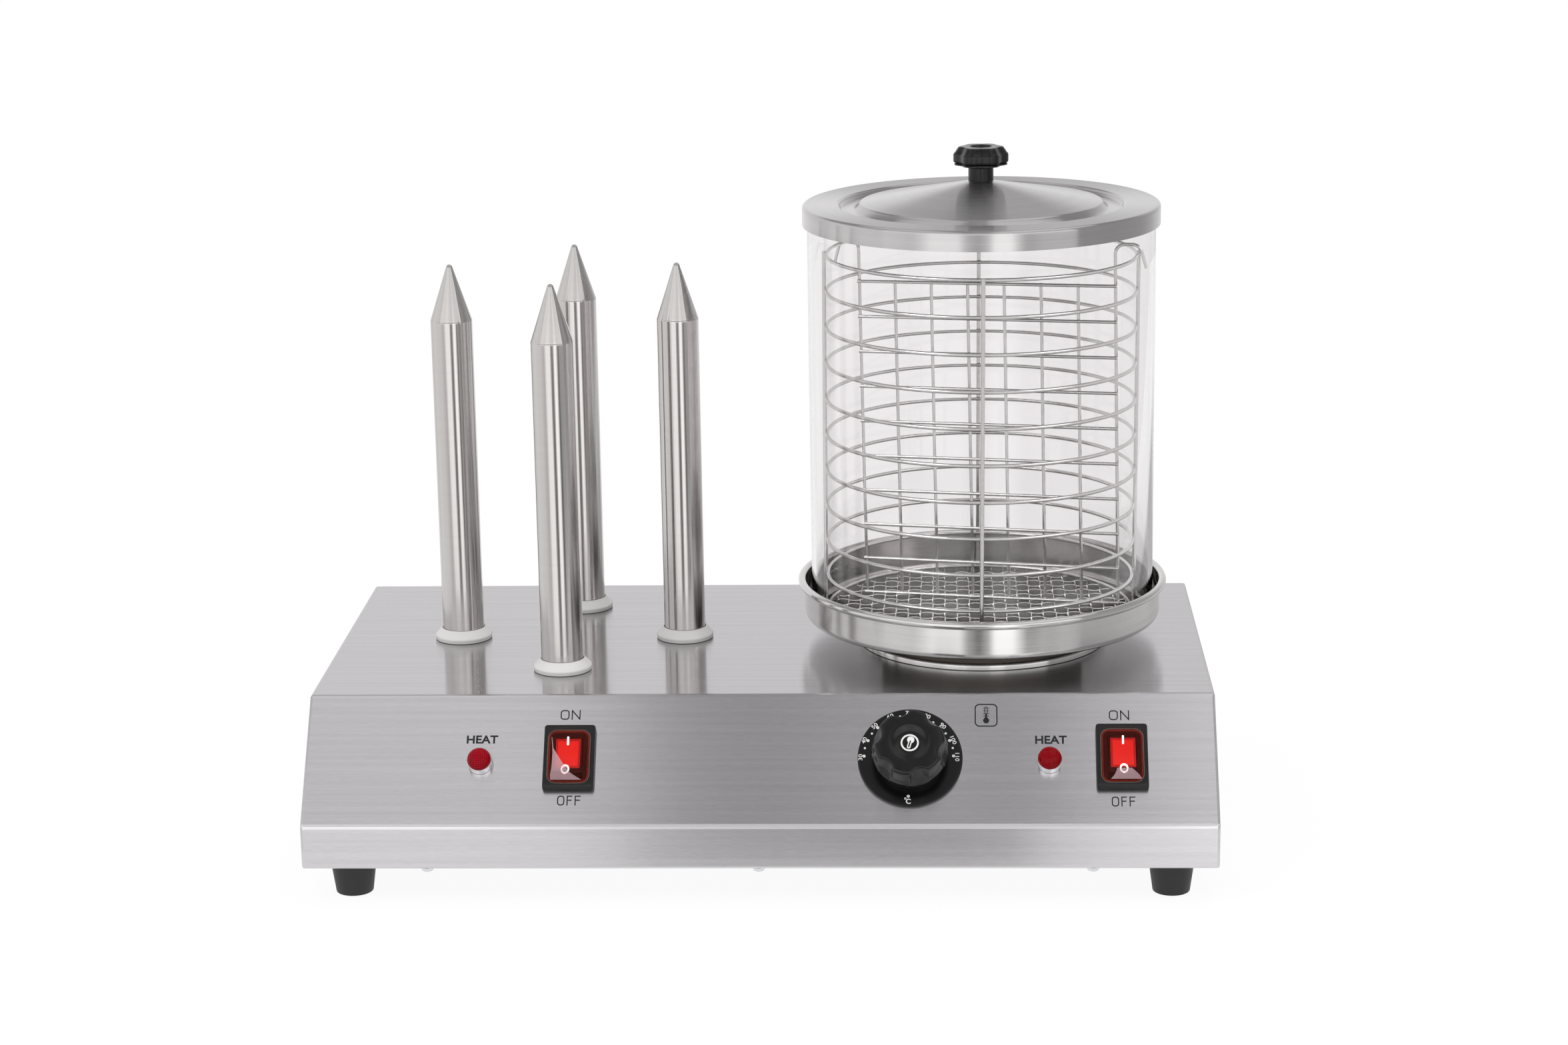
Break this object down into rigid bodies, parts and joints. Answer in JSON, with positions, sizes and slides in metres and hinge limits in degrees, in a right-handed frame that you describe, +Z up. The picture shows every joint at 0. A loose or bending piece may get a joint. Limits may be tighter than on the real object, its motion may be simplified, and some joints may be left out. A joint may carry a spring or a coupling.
{
  "type": "hot dog steamer",
  "caption": "Countertop hot dog steamer with heated bun spikes and a glass steaming cylinder over a water tray, on a sloped steel control base.",
  "frame": {"origin": "on the tabletop, under the middle of the base", "axes": "+X to the user's right along the panel, +Y towards the back, +Z up"},
  "size_m": [0.5, 0.2905, 0.3913],
  "materials": {
    "brushed_steel": "fine brushed stainless steel",
    "spike_steel": "smooth bright stainless steel",
    "polished_wire": "polished stainless steel",
    "galvanised_steel": "galvanised steel",
    "black_rubber": "matte black rubber",
    "black_plastic": "satin black moulded plastic",
    "white_silicone": "off-white silicone",
    "clear_glass": "clear heat-resistant glass",
    "clear_plastic": "clear glossy plastic",
    "red_plastic": "translucent red plastic",
    "chrome": "bright chrome",
    "heater_metal": "dark heat-stained metal",
    "copper": "plain copper",
    "natural_nylon": "natural nylon"
  },
  "bodies": {
    "base": {"base_housing": "brushed_steel", "spike_front": "spike_steel", "spike_left": "spike_steel", "spike_right": "spike_steel", "spike_rear": "spike_steel", "hotplate_ring": "polished_wire", "bottom_plate": "galvanised_steel", "thermostat_body": "galvanised_steel", "foot_screw_front_left": "galvanised_steel", "foot_screw_front_right": "galvanised_steel", "foot_screw_rear_left": "galvanised_steel", "foot_screw_rear_right": "galvanised_steel", "spike_nut_front": "galvanised_steel", "spike_nut_left": "galvanised_steel", "spike_nut_right": "galvanised_steel", "spike_nut_rear": "galvanised_steel", "foot_front_left": "black_rubber", "foot_front_right": "black_rubber", "foot_rear_left": "black_rubber", "foot_rear_right": "black_rubber", "dial_plate": "black_plastic", "switch_frame_left": "black_plastic", "switch_frame_right": "black_plastic", "cable_gland": "black_plastic", "spike_collar_front": "white_silicone", "spike_collar_left": "white_silicone", "spike_collar_right": "white_silicone", "spike_collar_rear": "white_silicone", "splash_cover_left": "clear_plastic", "splash_cover_right": "clear_plastic", "lamp_lens_left": "red_plastic", "lamp_lens_right": "red_plastic", "lamp_bezel_left": "chrome", "lamp_bezel_right": "chrome", "base_screw_front_1": "chrome", "base_screw_front_2": "chrome", "base_screw_front_3": "chrome", "base_screw_rear_1": "chrome", "base_screw_rear_2": "chrome", "base_screw_rear_3": "chrome", "hotplate": "heater_metal", "heating_element": "heater_metal", "spike_heater_front": "heater_metal", "spike_heater_left": "heater_metal", "spike_heater_right": "heater_metal", "spike_heater_rear": "heater_metal", "thermostat_capillary": "copper", "terminal_block": "natural_nylon"},
    "tray": {"water_tray": "brushed_steel"},
    "basket": {"basket": "polished_wire", "basket_floor_mesh": "polished_wire"},
    "divider": {"divider": "polished_wire"},
    "glass": {"glass_cylinder": "clear_glass"},
    "lid": {"lid": "brushed_steel", "lid_knob": "black_plastic", "lid_screw": "galvanised_steel"},
    "thermostat_knob": {"thermostat_knob": "black_plastic"},
    "rocker_left": {"rocker_left": "red_plastic"},
    "rocker_right": {"rocker_right": "red_plastic"}
  },
  "joints": [
    {"name": "tray_lift", "type": "slide", "parent": "base", "child": "tray", "axis": [0, 0, 1], "range_m": [0, 0.06]},
    {"name": "basket_lift", "type": "slide", "parent": "tray", "child": "basket", "axis": [0, 0, 1], "range_m": [0, 0.1]},
    {"name": "divider_lift", "type": "slide", "parent": "basket", "child": "divider", "axis": [0, 0, 1], "range_m": [0, 0.22]},
    {"name": "glass_lift", "type": "slide", "parent": "divider", "child": "glass", "axis": [0, 0, 1], "range_m": [0, 0.26]},
    {"name": "lid_lift", "type": "slide", "parent": "glass", "child": "lid", "axis": [0, 0, 1], "range_m": [0, 0.12]},
    {"name": "thermostat_turn", "type": "hinge", "parent": "base", "child": "thermostat_knob", "pos_m": [0.0828, -0.11662, 0.07705], "axis": [0, 0.7656, -0.6433], "range_deg": [-14, 252]},
    {"name": "rocker_left_tip", "type": "hinge", "parent": "base", "child": "rocker_left", "pos_m": [-0.1038, -0.11399, 0.07459], "axis": [1, 0, 0], "range_deg": [0, 16]},
    {"name": "rocker_right_tip", "type": "hinge", "parent": "base", "child": "rocker_right", "pos_m": [0.198, -0.11399, 0.07459], "axis": [1, 0, 0], "range_deg": [0, 16]}
  ]
}
